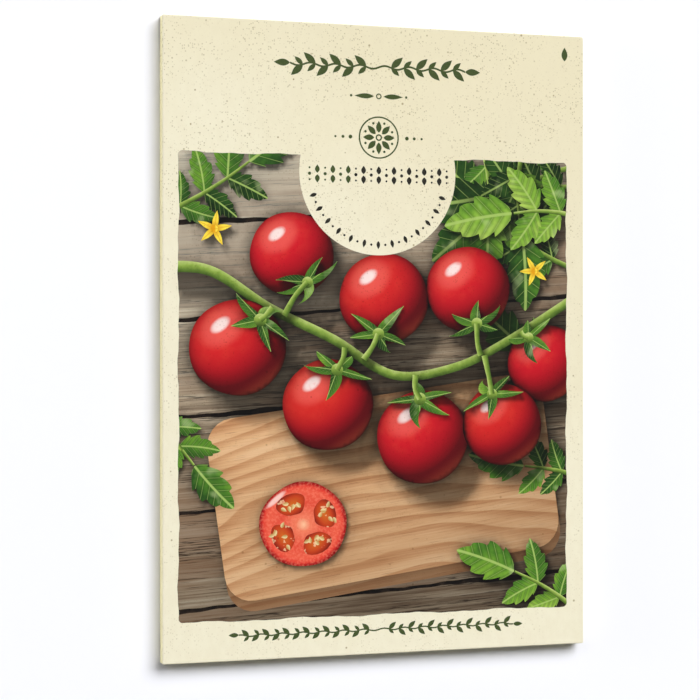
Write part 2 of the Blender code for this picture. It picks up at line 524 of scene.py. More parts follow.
def packet_sheet():
    """The whole folded sheet: front, walls, closed corners, back wings and the two flaps."""
    flat_x = WIDTH / 2 - FOLD_RADIUS
    flat_y = HEIGHT / 2 - FOLD_RADIUS
    xs = [-flat_x + x for x in steps(2 * flat_x, SHEET_STEP, CREASE_STEPS)]
    ys = [-flat_y + y for y in steps(2 * flat_y, SHEET_STEP, CREASE_STEPS)]
    bm = bmesh.new()
    panel = []
    for y in ys:
        heights = [front_height((x + WIDTH / 2) / MM, (y + HEIGHT / 2) / MM) for x in xs]
        panel.append([bm.verts.new((x, y, z)) for x, z in zip(xs, heights)])
    for low, high in zip(panel, panel[1:]):
        for i in range(len(low) - 1):
            bm.faces.new((low[i], low[i + 1], high[i + 1], high[i]))
    wing = flat_x + WING_OVERLAP / 2
    right = [row[-1] for row in panel]
    left = [row[0] for row in panel][::-1]
    sides = (
        (panel[0], FLAP_LEVEL, Vector((0, -1, 0)), BOTTOM_FLAP, FLAP_TAPER, FLAP_ROUND),
        (right, RIGHT_WING_LEVEL, Vector((1, 0, 0)), wing, WING_TAPER, 0.0),
        (panel[-1][::-1], FLAP_LEVEL, Vector((0, 1, 0)), TOP_FLAP, FLAP_TAPER, FLAP_ROUND),
        (left, LEFT_WING_LEVEL, Vector((-1, 0, 0)), wing, WING_TAPER, 0.0),
    )
    for (*_, outward, length, taper, rounding), row in zip(sides, fold_walls(bm, sides)):
        fold_in(bm, row, outward, length, taper, rounding)
    settle_wings(bm)
    wear_corners(bm)
    mesh = bpy.data.meshes.new("packet_sheet")
    bm.to_mesh(mesh)
    bm.free()
    sheet = placed("packet_sheet", mesh)
    solid = sheet.modifiers.new("paper", "SOLIDIFY")
    solid.thickness = PAPER
    solid.offset = -1.0
    mesh.shade_smooth()
    mesh.set_sharp_from_angle(angle=math.radians(SHARP_ANGLE))
    mesh.materials.append(paper_material())
    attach(sheet, "root")
    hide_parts("paper_packet")


def fold_walls(bm, sides):
    """The folds and walls round the front, with a rounded upright at each corner. Returns each
    side's last row of vertices, which lies on the back."""
    profiles = [fold_profile(CAD_LOW.z + level) for _, level, *_ in sides]
    ring = []
    for border, *_ in sides:
        ring += [*border, *[border[-1]] * (CORNER_STEPS - 1)]
    for step in range(len(profiles[0])):
        made, rows = [], []
        for index, (border, _, outward, *_) in enumerate(sides):
            out, height = profiles[index][step]
            places = [vert.co + outward * out for vert in border]
            rows.append([bm.verts.new((place.x, place.y, height)) for place in places])
            made += rows[-1]
            after = (index + 1) % len(sides)
            following, next_height = sides[after][2], profiles[after][step][1]
            for part in range(1, CORNER_STEPS):
                share = part / CORNER_STEPS
                turn = math.pi / 2 * share
                way = outward * math.cos(turn) + following * math.sin(turn)
                place = border[-1].co + way * out
                level = height + (next_height - height) * share
                made.append(bm.verts.new((place.x, place.y, level)))
        for i in range(len(ring)):
            j = (i + 1) % len(ring)
            face = [ring[i], made[i], made[j], ring[j]]
            if ring[i] is ring[j]:
                face.pop()
            bm.faces.new(face)
        ring = made
    return rows


def fold_in(bm, row, outward, length, taper, rounding):
    """A wing or flap: the sheet goes on from a row of vertices on the back, inwards."""
    middle = (row[0].co + row[-1].co) / 2
    along = (row[-1].co - row[0].co).normalized()
    half = (row[-1].co - row[0].co).length / 2
    shares = [(vert.co - middle).dot(along) / half for vert in row]
    creases = (rounding / 4, rounding / 2) if rounding else ()
    for reach in steps(length, FLAP_STEP, creases)[1:]:
        narrow = taper * reach / length
        over = reach - (length - rounding)
        if over > 0:
            narrow += rounding - math.sqrt(max(rounding**2 - over**2, 0.0))
        places = [middle + along * share * (half - narrow) - outward * reach for share in shares]
        made = [bm.verts.new(place) for place in places]
        for i in range(len(row) - 1):
            bm.faces.new((row[i], made[i], made[i + 1], row[i + 1]))
        row = made


def settle_wings(bm):
    """Lowers the feet of the side walls to the floor, with the strip of the wing beside them."""
    for vert in bm.verts:
        level = LEFT_WING_LEVEL if vert.co.x < 0 else RIGHT_WING_LEVEL
        lift = vert.co.z - CAD_LOW.z
        if level / 2 < lift < level + 2 * BACK_FOLD_RISE:
            beside = smooth_step(1 - (WIDTH / 2 - abs(vert.co.x)) / SETTLE_WIDTH)
            along = smooth_step((HEIGHT / 2 - abs(vert.co.y)) / SETTLE_LENGTH)
            vert.co.z -= level * float(beside * along)


def wear_corners(bm):
    """Pulls the corners in: the squares round a corner's middle become circles."""
    for vert in bm.verts:
        wear = CORNER_WEAR[vert.co.x > 0][vert.co.y > 0]
        over_x = abs(vert.co.x) - WIDTH / 2 + wear
        over_y = abs(vert.co.y) - HEIGHT / 2 + wear
        if over_x > 0 and over_y > 0:
            pull = 1 - max(over_x, over_y) / math.hypot(over_x, over_y)
            vert.co.x -= math.copysign(over_x * pull, vert.co.x)
            vert.co.y -= math.copysign(over_y * pull, vert.co.y)


def dress_seeds():
    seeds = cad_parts["seeds"]
    seeds.data.materials.clear()
    seeds.data.materials.append(seed_material())


def fruit_colour(n, u, v, tone):
    facing = n.math("SQRT", n.math("MAXIMUM", n.math("SUBTRACT", 1.0, n.squares(u, v)), 0.0))
    lit = n.total((u, -0.44), (v, 0.58), (facing, 0.68))
    skin = n.colours(lit, SKIN_COLOURS)
    ripe = n.mix(n.ramp(tone, 0.3, 0.9, 0.0, 0.4), skin, srgb(214, 60, 24))
    skin = n.mix(n.ramp(lit, 0.2, 0.8), skin, ripe)
    mottle = n.ramp(n.noise(3.5 * MM, 3.0), 0.4, 0.7, 0.0, 0.16)
    skin = n.mix(n.times(mottle, n.ramp(lit, 0.4, 0.9)), skin, srgb(240, 92, 62))
    bounce = n.total((u, 0.52), (v, -0.72), (facing, -0.15))
    skin = n.mix(n.ramp(bounce, 0.5, 0.9, 0.0, 0.4), skin, srgb(190, 78, 52))
    wide = n.spot(u, v, (-0.32, 0.42), (0.6, 0.44), 38)
    skin = n.mix(n.times(wide, 0.26), skin, srgb(255, 136, 122))
    sharp = n.spot(u, v, (-0.36, 0.47), (0.27, 0.15), 38)
    broken = n.ramp(n.noise(1.2 * MM, 2.0), 0.25, 0.45, 0.75, 1.0)
    return n.mix(n.times(n.times(sharp, broken), 0.88), skin, srgb(255, 238, 232))


def leaf_colour(n, s, t, tone):
    depth = n.total((tone, 0.8), (n.noise(4 * MM, 3.0), 0.55), (t, 0.16), bias=-0.18)
    green = n.colours(depth, LEAF_COLOURS)
    side = n.math("ABSOLUTE", t)
    rows = n.math("FRACT", n.total((s, 7.0), (side, -1.7), bias=8.0))
    beside = n.math("ABSOLUTE", n.math("SUBTRACT", rows, 0.5))
    quilt = n.ramp(beside, 0.05, 0.5, 0.0, 1.0)
    green = n.mix(n.times(quilt, 0.45), green, srgb(30, 62, 22))
    vein = n.ramp(beside, 0.44, 0.49, 0.0, 0.5)
    rib = n.ramp(side, 0.035, 0.09, 0.85, 0.0)
    green = n.mix(n.math("MAXIMUM", vein, rib), green, srgb(168, 196, 104))
    gleam = n.ramp(n.noise(6 * MM, 2.0, 30), 0.56, 0.72, 0.0, 0.3)
    return n.mix(gleam, green, srgb(206, 222, 160))


def stem_colour(n, s, t, tone):
    depth = n.total((t, 0.34), (n.noise(2.2 * MM, 3.0), 0.4), (tone, 0.25), bias=0.1)
    return n.colours(depth, STEM_COLOURS)


def plank_colour(n, s, t, tone):
    wood = n.joined(s, t, n.times(tone, 60))
    fibres = n.streaks(wood, (0.018, 0.75, 1), 7.0, 0.72)
    fine = n.streaks(wood, (0.05, 2.6, 1), 4.0, 0.6)
    stains = n.streaks(wood, (0.022, 0.09, 1), 3.0, 0.5)
    weight = n.total((fibres, 0.9), (fine, 0.35), (stains, 0.55), bias=-0.4)
    grey = n.colours(weight, PLANK_COLOURS)
    brown = n.mix(n.ramp(stains, 0.42, 0.62, 0.0, 0.6), grey, srgb(130, 88, 56))
    crack = n.streaks(wood, (0.012, 0.42, 2), 5.0, 0.6)
    line = n.ramp(n.math("ABSOLUTE", n.math("SUBTRACT", crack, 0.5)), 0.004, 0.016, 0.85, 0.0)
    brown = n.mix(line, brown, srgb(44, 32, 24))
    x, y = n.split(n.place)[:2]
    fall = n.total((y, 7.0), (x, -3.0), bias=0.62)
    pale = n.mix(n.ramp(fall, 0.45, 1.3, 0.0, 0.55), brown, srgb(214, 212, 194))
    return n.dimmed(pale, n.ramp(fall, 0.0, 0.9, 0.4, 1.0))


def gap_colour(n, s, t, tone):
    return n.mix(n.ramp(n.noise(3 * MM), 0.35, 0.7), srgb(26, 19, 14), srgb(70, 54, 42))


def board_colour(n, s, t, tone):
    wood = n.joined(s, t, 3.0)
    warp = n.streaks(wood, (0.014, 0.045, 1), 2.0, 0.45)
    ring = n.math("FRACT", n.total((t, 0.24), (warp, 4.6), (n.times(s, s), 0.0006)))
    late = n.times(n.ramp(ring, 0.25, 0.92), n.ramp(ring, 0.93, 1.0, 1.0, 0.0))
    fine = n.streaks(wood, (0.035, 2.2, 1), 5.0, 0.65)
    broad = n.streaks(wood, (0.02, 0.16, 4), 2.0, 0.5)
    weight = n.total((late, -0.26), (fine, 0.55), (broad, 0.45), bias=0.12)
    tan = n.colours(weight, BOARD_COLOURS)
    pores = n.ramp(n.streaks(wood, (0.14, 4.0, 1), 2.0, 0.5), 0.62, 0.70, 0.0, 0.45)
    tan = n.mix(pores, tan, srgb(132, 86, 54))
    tan = n.mix(n.math("SUBTRACT", 0.62, n.times(tone, 0.62)), tan, srgb(104, 66, 40))
    x, y = n.split(n.place)[:2]
    fall = n.total((y, 7.0), (x, -4.0), bias=0.7)
    return n.dimmed(tan, n.ramp(fall, 0.0, 0.7, 0.66, 1.0))


def cut_colour(n, u, v, tone):
    far = n.math("SQRT", n.squares(u, v))
    wobble = n.total((far, 1.0), (n.noise(1.6 * MM, 2.0), 0.06), bias=-0.03)
    flesh = n.colours(wobble, FLESH_COLOURS)
    grainy = n.ramp(n.noise(0.7 * MM, 3.0), 0.4, 0.7, 0.0, 0.3)
    flesh = n.mix(grainy, flesh, srgb(250, 150, 120))
    wet = n.spot(u, v, (-0.62, 0.60), (0.34, 0.08), 42)
    return n.mix(n.times(wet, 0.7), flesh, srgb(255, 226, 214))


def jelly_colour(n, s, t, tone):
    jelly = n.colours(n.math("SQRT", n.squares(s, t, 0.5)), JELLY_COLOURS)
    gloss = n.ramp(n.noise(1.4 * MM, 1.0), 0.62, 0.68, 0.0, 0.6)
    return n.mix(gloss, jelly, srgb(255, 214, 168))


def pip_colour(n, s, t, tone):
    return n.mix(n.ramp(t, -0.8, 0.8), srgb(206, 160, 88), srgb(246, 222, 164))


def petal_colour(n, s, t, tone):
    yellow = n.mix(n.ramp(s, 0.0, 0.6), srgb(226, 160, 20), srgb(250, 222, 70))
    fold = n.ramp(n.math("ABSOLUTE", t), 0.0, 0.3, 0.5, 0.0)
    return n.mix(fold, yellow, srgb(214, 148, 24))


PICTURED = {
    "fruit": fruit_colour, "leaf": leaf_colour, "stem": stem_colour, "plank": plank_colour,
    "gap": gap_colour, "board": board_colour, "cut": cut_colour, "jelly": jelly_colour,
    "pip": pip_colour, "petal": petal_colour,
}


def print_material(kind):
    """One kind of print on the flecked paper. A plain ink is thinner where the paper's tooth
    breaks it. A pictured surface has its colours, darkened by the pictured light."""
    n = surface(f"print_{kind}", *PRINT_GLOSS)
    if kind in INKS:
        thin = n.ramp(n.noise(0.5 * MM, 3.0), 0.45, 0.75, 0.0, 0.3)
        return n.grain(n.mix(thin, *(srgb(*colour) for colour in INKS[kind])), INK_FLECKS)
    colour = PICTURED[kind](n, *n.split(n.read("own", "Vector")))
    light = n.math("POWER", n.read("light", "Fac"), SHADOW_CONTRAST)
    return n.grain(n.dimmed(colour, light), PICTURE_FLECKS)


class Shape:
    """One printed shape: an outline in millimetres, what kind of surface it shows, and its own
    coordinates s and t. Base and dome say how high the pictured thing stands over the table."""

    def __init__(self, kind, outline, own=None, tone=0.5, base=0.0, dome=0.0):
        self.kind = kind
        self.outline = np.asarray(outline, float)
        self.own = own or (lambda x, y: (x, y))
        self.tone, self.base, self.dome = tone, base, dome

    def height(self, s, t):
        bulge = 1 - t**2 - (s**2 if self.kind in BALL_KINDS else 0.0)
        return self.base + self.dome * np.sqrt(np.maximum(bulge, 0.0))


def inside(outline, x, y):
    """Whether each place is inside an outline, from the edges to the right of it."""
    found = np.zeros(np.shape(x), bool)
    for (x0, y0), (x1, y1) in zip(outline, np.roll(outline, -1, axis=0)):
        if y0 != y1:
            beside = x < x0 + (y - y0) * (x1 - x0) / (y1 - y0)
            found ^= beside & ((y0 > y) != (y1 > y))
    return found


class Relief:
    """Heights of the pictured things over a fine grid, which the pictured shadows come from."""

    def __init__(self, shapes):
        corners = np.array([WINDOW[:2], WINDOW[2:]])
        self.low = corners[0] - RELIEF_MARGIN
        columns, rows = ((corners[1] - corners[0] + 2 * RELIEF_MARGIN) / RELIEF_STEP).astype(int)
        self.heights = np.zeros((rows, columns))
        for shape in shapes:
            if shape.kind == "bare":
                continue
            first = np.floor((shape.outline.min(0) - self.low) / RELIEF_STEP).astype(int).clip(0)
            last = np.ceil((shape.outline.max(0) - self.low) / RELIEF_STEP).astype(int)
            part = self.heights[first[1] : last[1], first[0] : last[0]]
            j, i = np.indices(part.shape)
            x = self.low[0] + (first[0] + i) * RELIEF_STEP
            y = self.low[1] + (first[1] + j) * RELIEF_STEP
            within = inside(shape.outline, x, y)
            part[within] = shape.height(*shape.own(x[within], y[within]))

    def at(self, x, y):
        sizes = self.heights.shape[::-1]
        i, j = (
            ((place - low) / RELIEF_STEP).round().astype(int).clip(0, size - 1)
            for place, low, size in zip((x, y), self.low, sizes)
        )
        return self.heights[j, i]

    def light(self, x, y, height):
        """The share of the pictured light at places of some height: 1 in the open."""
        lit = np.zeros_like(x)
        for aside in LIGHT_SPREAD:
            across = LIGHT_FROM[0] + aside * LIGHT_FROM[1]
            up = LIGHT_FROM[1] - aside * LIGHT_FROM[0]
            ray = np.ones_like(x)
            for far in SHADOW_STEPS:
                over = self.at(x + far * across, y + far * up) - height - far * LIGHT_SLOPE
                ray = np.minimum(ray, 1 - smooth_step(over / (0.6 + 0.5 * far)))
            lit += ray / len(LIGHT_SPREAD)
        closed = np.zeros_like(x)
        for turn in range(CLOSED_TURNS):
            way = 2 * math.pi * turn / CLOSED_TURNS
            for far in CLOSED_STEPS:
                rise = self.at(x + far * math.cos(way), y + far * math.sin(way)) - height
                closed += np.clip(rise / far, 0.0, 1.2) / (CLOSED_TURNS * len(CLOSED_STEPS))
        return (1 - SHADOW_DEPTH * (1 - lit)) * (1 - CLOSED_DEPTH * np.minimum(closed, 1.0))


def spaced(outline, step):
    """The outline with more points, none further apart than a step, running anticlockwise."""
    after = np.roll(outline, -1, axis=0)
    if np.sum(outline[:, 0] * after[:, 1] - after[:, 0] * outline[:, 1]) < 0:
        outline = outline[::-1]
        after = np.roll(outline, -1, axis=0)
    points = []
    for start, end in zip(outline, after):
        parts = max(1, math.ceil(np.hypot(*(end - start)) / step))
        points.extend(start + (end - start) * part / parts for part in range(parts))
    return points


def printed(name, shapes, clipped, step):
    """One sheet of ink that follows the front. Where shapes overlap the last one shows, and
    where the first one is a window nothing is printed outside it."""
    points, faces = [], []
    for shape in shapes:
        outline = spaced(shape.outline, step)
        faces.append(list(range(len(points), len(points) + len(outline))))
        points.extend(outline)
    low, high = np.min(points, axis=0), np.max(points, axis=0)
    for row, y in enumerate(np.arange(low[1] + step / 2, high[1], step * 0.87)):
        start = low[0] + step * (0.3 + 0.5 * (row % 2))
        points.extend((x, y) for x in np.arange(start, high[0], step))
    found = delaunay_2d_cdt([Vector(point) for point in points], [], faces, 0, 1e-4, True)
    places = np.array([tuple(place) for place in found[0]])
    triangles, owners = [], []
    for triangle, sources in zip(found[2], found[5]):
        if sources and shapes[max(sources)].kind != "bare" and (0 in sources or not clipped):
            triangles.append(triangle)
            owners.append(max(sources))
    triangles, owners = np.array(triangles), np.array(owners)
    used, corners = np.unique(triangles, return_inverse=True)
    corners = corners.reshape(-1, 3)
    places = places[used]
    heights = front_height(places[:, 0], places[:, 1]) + INK_STEP
    mesh = bpy.data.meshes.new(name)
    spots = [(x * MM - WIDTH / 2, y * MM - HEIGHT / 2, z) for (x, y), z in zip(places, heights)]
    mesh.from_pydata(spots, [], corners.tolist())
    relief = Relief(shapes) if clipped else None
    own, light = np.zeros((len(corners), 3, 3)), np.ones((len(corners), 3))
    kinds = sorted({shape.kind for shape in shapes} - {"bare"})
    indices = np.zeros(len(corners), int)
    for index, shape in enumerate(shapes):
        chosen = owners == index
        if not chosen.any():
            continue
        x, y = places[corners[chosen]][..., 0], places[corners[chosen]][..., 1]
        s, t = shape.own(x, y)
        own[chosen] = np.stack([s, t, np.full_like(s, shape.tone)], axis=-1)
        if relief:
            light[chosen] = relief.light(x, y, shape.height(s, t) + SELF_CLEARANCE)
        indices[chosen] = kinds.index(shape.kind)
    mesh.attributes.new("own", "FLOAT_VECTOR", "CORNER").data.foreach_set("vector", own.ravel())
    mesh.attributes.new("light", "FLOAT", "CORNER").data.foreach_set("value", light.ravel())
    mesh.polygons.foreach_set("material_index", indices)
    for kind in kinds:
        mesh.materials.append(print_material(kind))
    mesh.shade_smooth()
    sheet = placed(name, mesh)
    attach(sheet, "root")


def turned(points, origin, turn):
    """Local points, turned by so many degrees and moved to their origin."""
    way = math.radians(turn)
    points = np.asarray(points, float)
    x = origin[0] + points[:, 0] * math.cos(way) - points[:, 1] * math.sin(way)
    y = origin[1] + points[:, 0] * math.sin(way) + points[:, 1] * math.cos(way)
    return np.stack([x, y], axis=1)


def polar(x, y, reach, way):
    """The place at a distance from another one, at an angle in radians."""
    return x + reach * math.cos(way), y + reach * math.sin(way)


def between(s, upper, lower, start=False, end=False):
    """The outline between two curves over s. They meet at its start, its end, both or neither."""
    back = np.stack([s, lower], 1)[::-1]
    return np.vstack([np.stack([s, upper], 1), back[int(end) : len(back) - int(start)]])


def straight_frame(origin, turn, length=1.0, half_width=1.0, bend=0.0):
    """Coordinates along and across a shape from its origin, in lengths and half widths."""
    way = math.radians(turn)

    def own(x, y):
        along = (x - origin[0]) * math.cos(way) + (y - origin[1]) * math.sin(way)
        across = (y - origin[1]) * math.cos(way) - (x - origin[0]) * math.sin(way)
        s = along / length
        return s, (across - bend * s * s) / half_width

    return own


def laid(kind, rim, origin, turn, measures, *rest):
    """A shape from a local outline, turned and moved, with coordinates along and across it."""
    return Shape(kind, turned(rim, origin, turn), straight_frame(origin, turn, *measures), *rest)


def disc(kind, x, y, across, up=None, count=64, lobes=0.0, **rest):
    """A round shape whose own coordinates reach 1 at its rim."""
    up = up or across
    angles = np.linspace(0, 2 * math.pi, count, endpoint=False)
    reach = 1 + lobes * np.cos(5 * angles + x) + 0.6 * lobes * np.cos(3 * angles + y)
    rim = np.stack([x + reach * across * np.cos(angles), y + reach * up * np.sin(angles)], 1)
    return Shape(kind, rim, lambda px, py: ((px - x) / across, (py - y) / up), **rest)


def curve(a, b, c, d, u):
    """A place on the smooth curve from b to c, with a before them and d after them."""
    bend = 2 * a - 5 * b + 4 * c - d
    twist = 3 * b - a - 3 * c + d
    return 0.5 * (2 * b + (c - a) * u + bend * u * u + twist * u**3)


def ribbon(kind, path, widths, *rest):
    """A stem along a smooth curve through the points of a path, with a width at each."""
    path = np.asarray(path, float)
    ends = np.vstack([2 * path[0] - path[1], path, 2 * path[-1] - path[-2]])
    centre, half = [], []
    for i in range(len(path) - 1):
        for u in np.linspace(0, 1, RIBBON_STEPS, endpoint=False):
            centre.append(curve(*ends[i : i + 4], u))
            half.append((widths[i] * (1 - u) + widths[i + 1] * u) / 2)
    centre = np.array([*centre, path[-1]])
    half = np.array([*half, widths[-1] / 2])
    way = np.gradient(centre, axis=0)
    way /= np.hypot(way[:, 0], way[:, 1])[:, None]
    side = np.stack([-way[:, 1], way[:, 0]], axis=1)
    bright = np.where(side @ np.array(LIGHT_FROM) < 0, -1.0, 1.0)
    rim = np.vstack([centre + side * half[:, None], (centre - side * half[:, None])[::-1]])

    def own(x, y):
        gap = (x[..., None] - centre[:, 0]) ** 2 + (y[..., None] - centre[:, 1]) ** 2
        near = gap.argmin(-1)
        across = (x - centre[near, 0]) * side[near, 0] + (y - centre[near, 1]) * side[near, 1]
        return near / len(centre), bright[near] * across / half[near]

    return Shape(kind, rim, own, *rest)


def leaflet(draw, origin, turn, length, width, tone, base):
    """A toothed leaf that bends a little, with its midrib from s = 0 to 1."""
    bend = draw.uniform(-0.16, 0.16) * length
    s = np.linspace(0, 1, 41)
    sides = []
    for side in (1, -1):
        tooth = (s * (LEAF_TEETH + draw.uniform(-0.4, 0.4)) + draw.random()) % 1
        narrow = 1 - TOOTH_DEPTH * (1 - tooth) ** 1.4
        half = 0.5 * width * np.sin(math.pi * s**0.78) ** 0.8 * narrow
        along = length * (s + 0.035 * tooth * (1 - s))
        sides.append(np.stack([along, side * half + bend * s * s], 1))
    rim = np.vstack([sides[0], sides[1][-2:0:-1]])
    return laid("leaf", rim, origin, turn, (length, width / 2, bend), tone, base, 0.8)


def compound_leaf(draw, origin, turn, length, size, tone, base, pairs, curl):
    """A stalk with pairs of toothed leaflets and one at its end."""
    joints = [origin]
    for pair in range(pairs + 1):
        way = math.radians(turn + curl * pair)
        joints.append(polar(*joints[-1], length / (pairs + 1), way))
    shapes = []
    for index, joint in enumerate(joints[1:-1]):
        for side in (-1, 1):
            spread = turn + curl * index + side * draw.uniform(48, 66)
            reach = size * draw.uniform(0.75, 1.0) * (0.72 + 0.28 * index / pairs)
            shade = min(1.0, max(0.0, tone + draw.uniform(-0.2, 0.2) + 0.12 * side))
            look = (reach, reach * 0.58, shade, base + draw.uniform(0, 2))
            shapes.append(leaflet(draw, joint, spread, *look))
    look = (size * 1.15, size * 0.7, tone, base + 2)
    shapes.append(leaflet(draw, joints[-1], turn + curl * pairs, *look))
    widths = [1.5 - 0.9 * i / (len(joints) - 1) for i in range(len(joints))]
    shapes.append(ribbon("stem", joints, widths, tone, base + 2, 0.7))
    return shapes


def fruit(x, y, radius, tone, lift=0.0):
    """A whole fruit, nearly round."""
    measures = {"lobes": 0.008, "base": lift + radius * 0.8, "dome": radius * 0.9}
    return disc("fruit", x, y, radius, radius * 0.96, tone=tone, **measures)


def calyx(draw, x, y, radius, turn, tilt, joint, lift=0.0):
    """Five curling sepals round the spot where the stalk joins a fruit, and the stalk itself.
    The spot faces the turn's way and is tilted away from the viewer."""
    way, lean = math.radians(turn), math.radians(tilt)
    pole = Vector((*polar(0, 0, math.sin(lean), way), math.cos(lean)))
    first = pole.orthogonal().normalized()
    second = pole.cross(first)
    start = draw.uniform(0, 72)
    base = lift + radius * 1.75
    shapes = []
    for index in range(5):
        spin = math.radians(start + 72 * index + draw.uniform(-10, 10))
        reach = draw.uniform(0.62, 0.86)
        curl = draw.uniform(-0.5, 0.5)
        sides = ([], [])
        for step in range(13):
            share = step / 12
            angle, around = 0.03 + reach * share, spin + curl * share**2
            outward = first * math.cos(around) + second * math.sin(around)
            spot = pole * math.cos(angle) + outward * math.sin(angle)
            half = 0.125 * math.sin(math.pi * (0.12 + 0.88 * share) ** 0.7) ** 0.9
            for side, sign in zip(sides, (1, -1)):
                point = (spot + pole.cross(outward) * half * sign) * (1 + 0.16 * share**2)
                side.append((x + radius * point.x, y + radius * point.y))
        rim = sides[0] + sides[1][::-1]
        root, tip = (np.mean([side[end] for side in sides], axis=0) for end in (0, -1))
        slant = math.degrees(math.atan2(*(tip - root)[::-1]))
        own = straight_frame(root, slant, math.dist(root, tip), radius * 0.12)
        shapes.append(Shape("leaf", rim, own, draw.uniform(0.25, 0.6), base, 0.3))
    spot = (x + radius * pole.x, y + radius * pole.y)
    shapes.append(disc("stem", *spot, radius * 0.13, tone=0.6, base=base + 1, dome=0.5))
    middle = [(a + b) / 2 + draw.uniform(-1, 1) for a, b in zip(spot, joint)]
    look = ((1.5, 1.25, 1.7), draw.uniform(0.4, 0.7), base + 1.5, 0.8)
    shapes.append(ribbon("stem", [spot, middle, joint], *look))
    return shapes


def halved_fruit(draw, x, y, radius):
    """A fruit cut across, face up: wall, chambers of jelly, and pips in them."""
    rim = {"lobes": 0.012, "base": BOARD_TOP + 3, "dome": 0.2}
    shapes = [disc("cut", x, y, radius, radius * 0.93, **rim)]
    for chamber in range(4):
        way = math.radians(90 * chamber + 28 + draw.uniform(-7, 7))
        angles = np.linspace(0, 2 * math.pi, 28, endpoint=False)
        reach = radius * (0.54 + 0.26 * np.cos(angles) * (1 + 0.12 * np.sin(2 * angles)))
        around = way + 0.62 * np.sin(angles) + 0.05 * np.sin(3 * angles)
        rim = np.stack([x + reach * np.cos(around), y + 0.93 * reach * np.sin(around)], 1)
        middle = (x + radius * 0.53 * math.cos(way), y + radius * 0.5 * math.sin(way))
        own = straight_frame(middle, math.degrees(way), radius * 0.26, radius * 0.3)
        shapes.append(Shape("jelly", rim, own, draw.random(), BOARD_TOP + 2.4, 0.3))
        for _ in range(6):
            spin = way + draw.uniform(-0.42, 0.42)
            far = radius * draw.uniform(0.38, 0.7)
            spot = (x + far * math.cos(spin), y + 0.93 * far * math.sin(spin))
            shapes.append(pip(draw, spot, draw.uniform(0, 360)))
    return shapes


def pip(draw, spot, turn):
    length, half_width = PIP_SIZE
    s = np.linspace(0, 1, 9)
    half = half_width * np.sin(math.pi * s**0.7)
    rim = between(length * s, half, -half, True, True)
    return laid("pip", rim, spot, turn, PIP_SIZE, draw.random(), 4.0, 0.3)


def blossom(draw, x, y, size, turn):
    """Five pointed petals and a small cone."""
    shapes = []
    for index in range(5):
        way = turn + 72 * index + draw.uniform(-8, 8)
        s = np.linspace(0, 1, 13)
        half_width = 0.17 * size
        half = half_width * np.sin(math.pi * (0.15 + 0.85 * s) ** 0.9)
        rim = between(size * s, half, -half, False, True)
        look = (draw.random(), BLOSSOM_HEIGHT, 0.4)
        shapes.append(laid("petal", rim, (x, y), way, (size, half_width), *look))
    cone = {"tone": 0.0, "base": BLOSSOM_HEIGHT + 1, "dome": 0.8}
    shapes.append(disc("petal", x, y, size * 0.2, count=16, **cone))
    return shapes


def rounded_box(left, bottom, right, top, corner):
    """Points round a box with rounded corners, anticlockwise, and each one's way out."""
    points = []
    spots = ((right, bottom, -90), (right, top, 0), (left, top, 90), (left, bottom, 180))
    for x, y, start in spots:
        cx = x + (corner if x == left else -corner)
        cy = y + (corner if y == bottom else -corner)
        for part in range(7):
            way = math.radians(start + 15 * part)
            points.append((*polar(cx, cy, corner, way), math.cos(way), math.sin(way)))
    points = np.array(points)
    rim = []
    for point, after in zip(points, np.roll(points, -1, axis=0)):
        parts = max(1, round(math.dist(point[:2], after[:2]) / BOX_STEP))
        rim += [point + (after - point) * (part / parts) for part in range(parts)]
    rim = np.array(rim)
    return rim[:, :2], rim[:, 2:]


def window():
    """The window of the picture, whose edge waves a little."""
    rim, outs = rounded_box(*WINDOW, WINDOW_CORNER)
    along = np.cumsum(np.hypot(*np.diff(rim, axis=0, prepend=rim[-1:]).T))
    wave = sum(
        size * np.sin(2 * math.pi * along / length + phase) for size, length, phase in WINDOW_WAVES
    )
    return Shape("bare", rim + outs * wave[:, None])


def table(draw):
    """Weathered planks that run across the picture, with dark gaps between them."""
    corners = ((0, 0), (PLANK_LENGTH, 0), (PLANK_LENGTH, PLANK_WIDTH), (0, PLANK_WIDTH))
    s = np.linspace(0, PLANK_LENGTH, 90)
    shapes = []
    for index in range(PLANK_COUNT):
        place = (PLANK_START[0], PLANK_START[1] + index * PLANK_WIDTH), PLANK_TURN
        shapes.append(laid("plank", corners, *place, (), draw.random()))
        waver = 0.16 * np.sin(s * 0.21 + index * 2) + 0.1 * np.sin(s * 0.83 + index)
        width = PLANK_GAP * (1 + 0.3 * np.sin(s * 0.13 + index))
        gap = between(s, waver + width / 2, waver - width / 2)
        shapes.append(laid("gap", gap, *place, (1.0, PLANK_GAP / 2), 0.0, -2.0))
    return shapes


def cutting_board():
    """A board with rounded corners and a lower edge that shows its thickness."""
    left, bottom, right, top = BOARD
    middle = ((left + right) / 2, (bottom + top) / 2)
    rim = rounded_box(*BOARD, BOARD_CORNER)[0] - np.array(middle)
    rim = turned(rim, middle, BOARD_TURN)
    own = straight_frame(middle, BOARD_TURN)
    under = rim + np.array(BOARD_DROP)
    return [Shape("board", under, own, 0.0, 0.8), Shape("board", rim, own, 1.0, BOARD_TOP)]


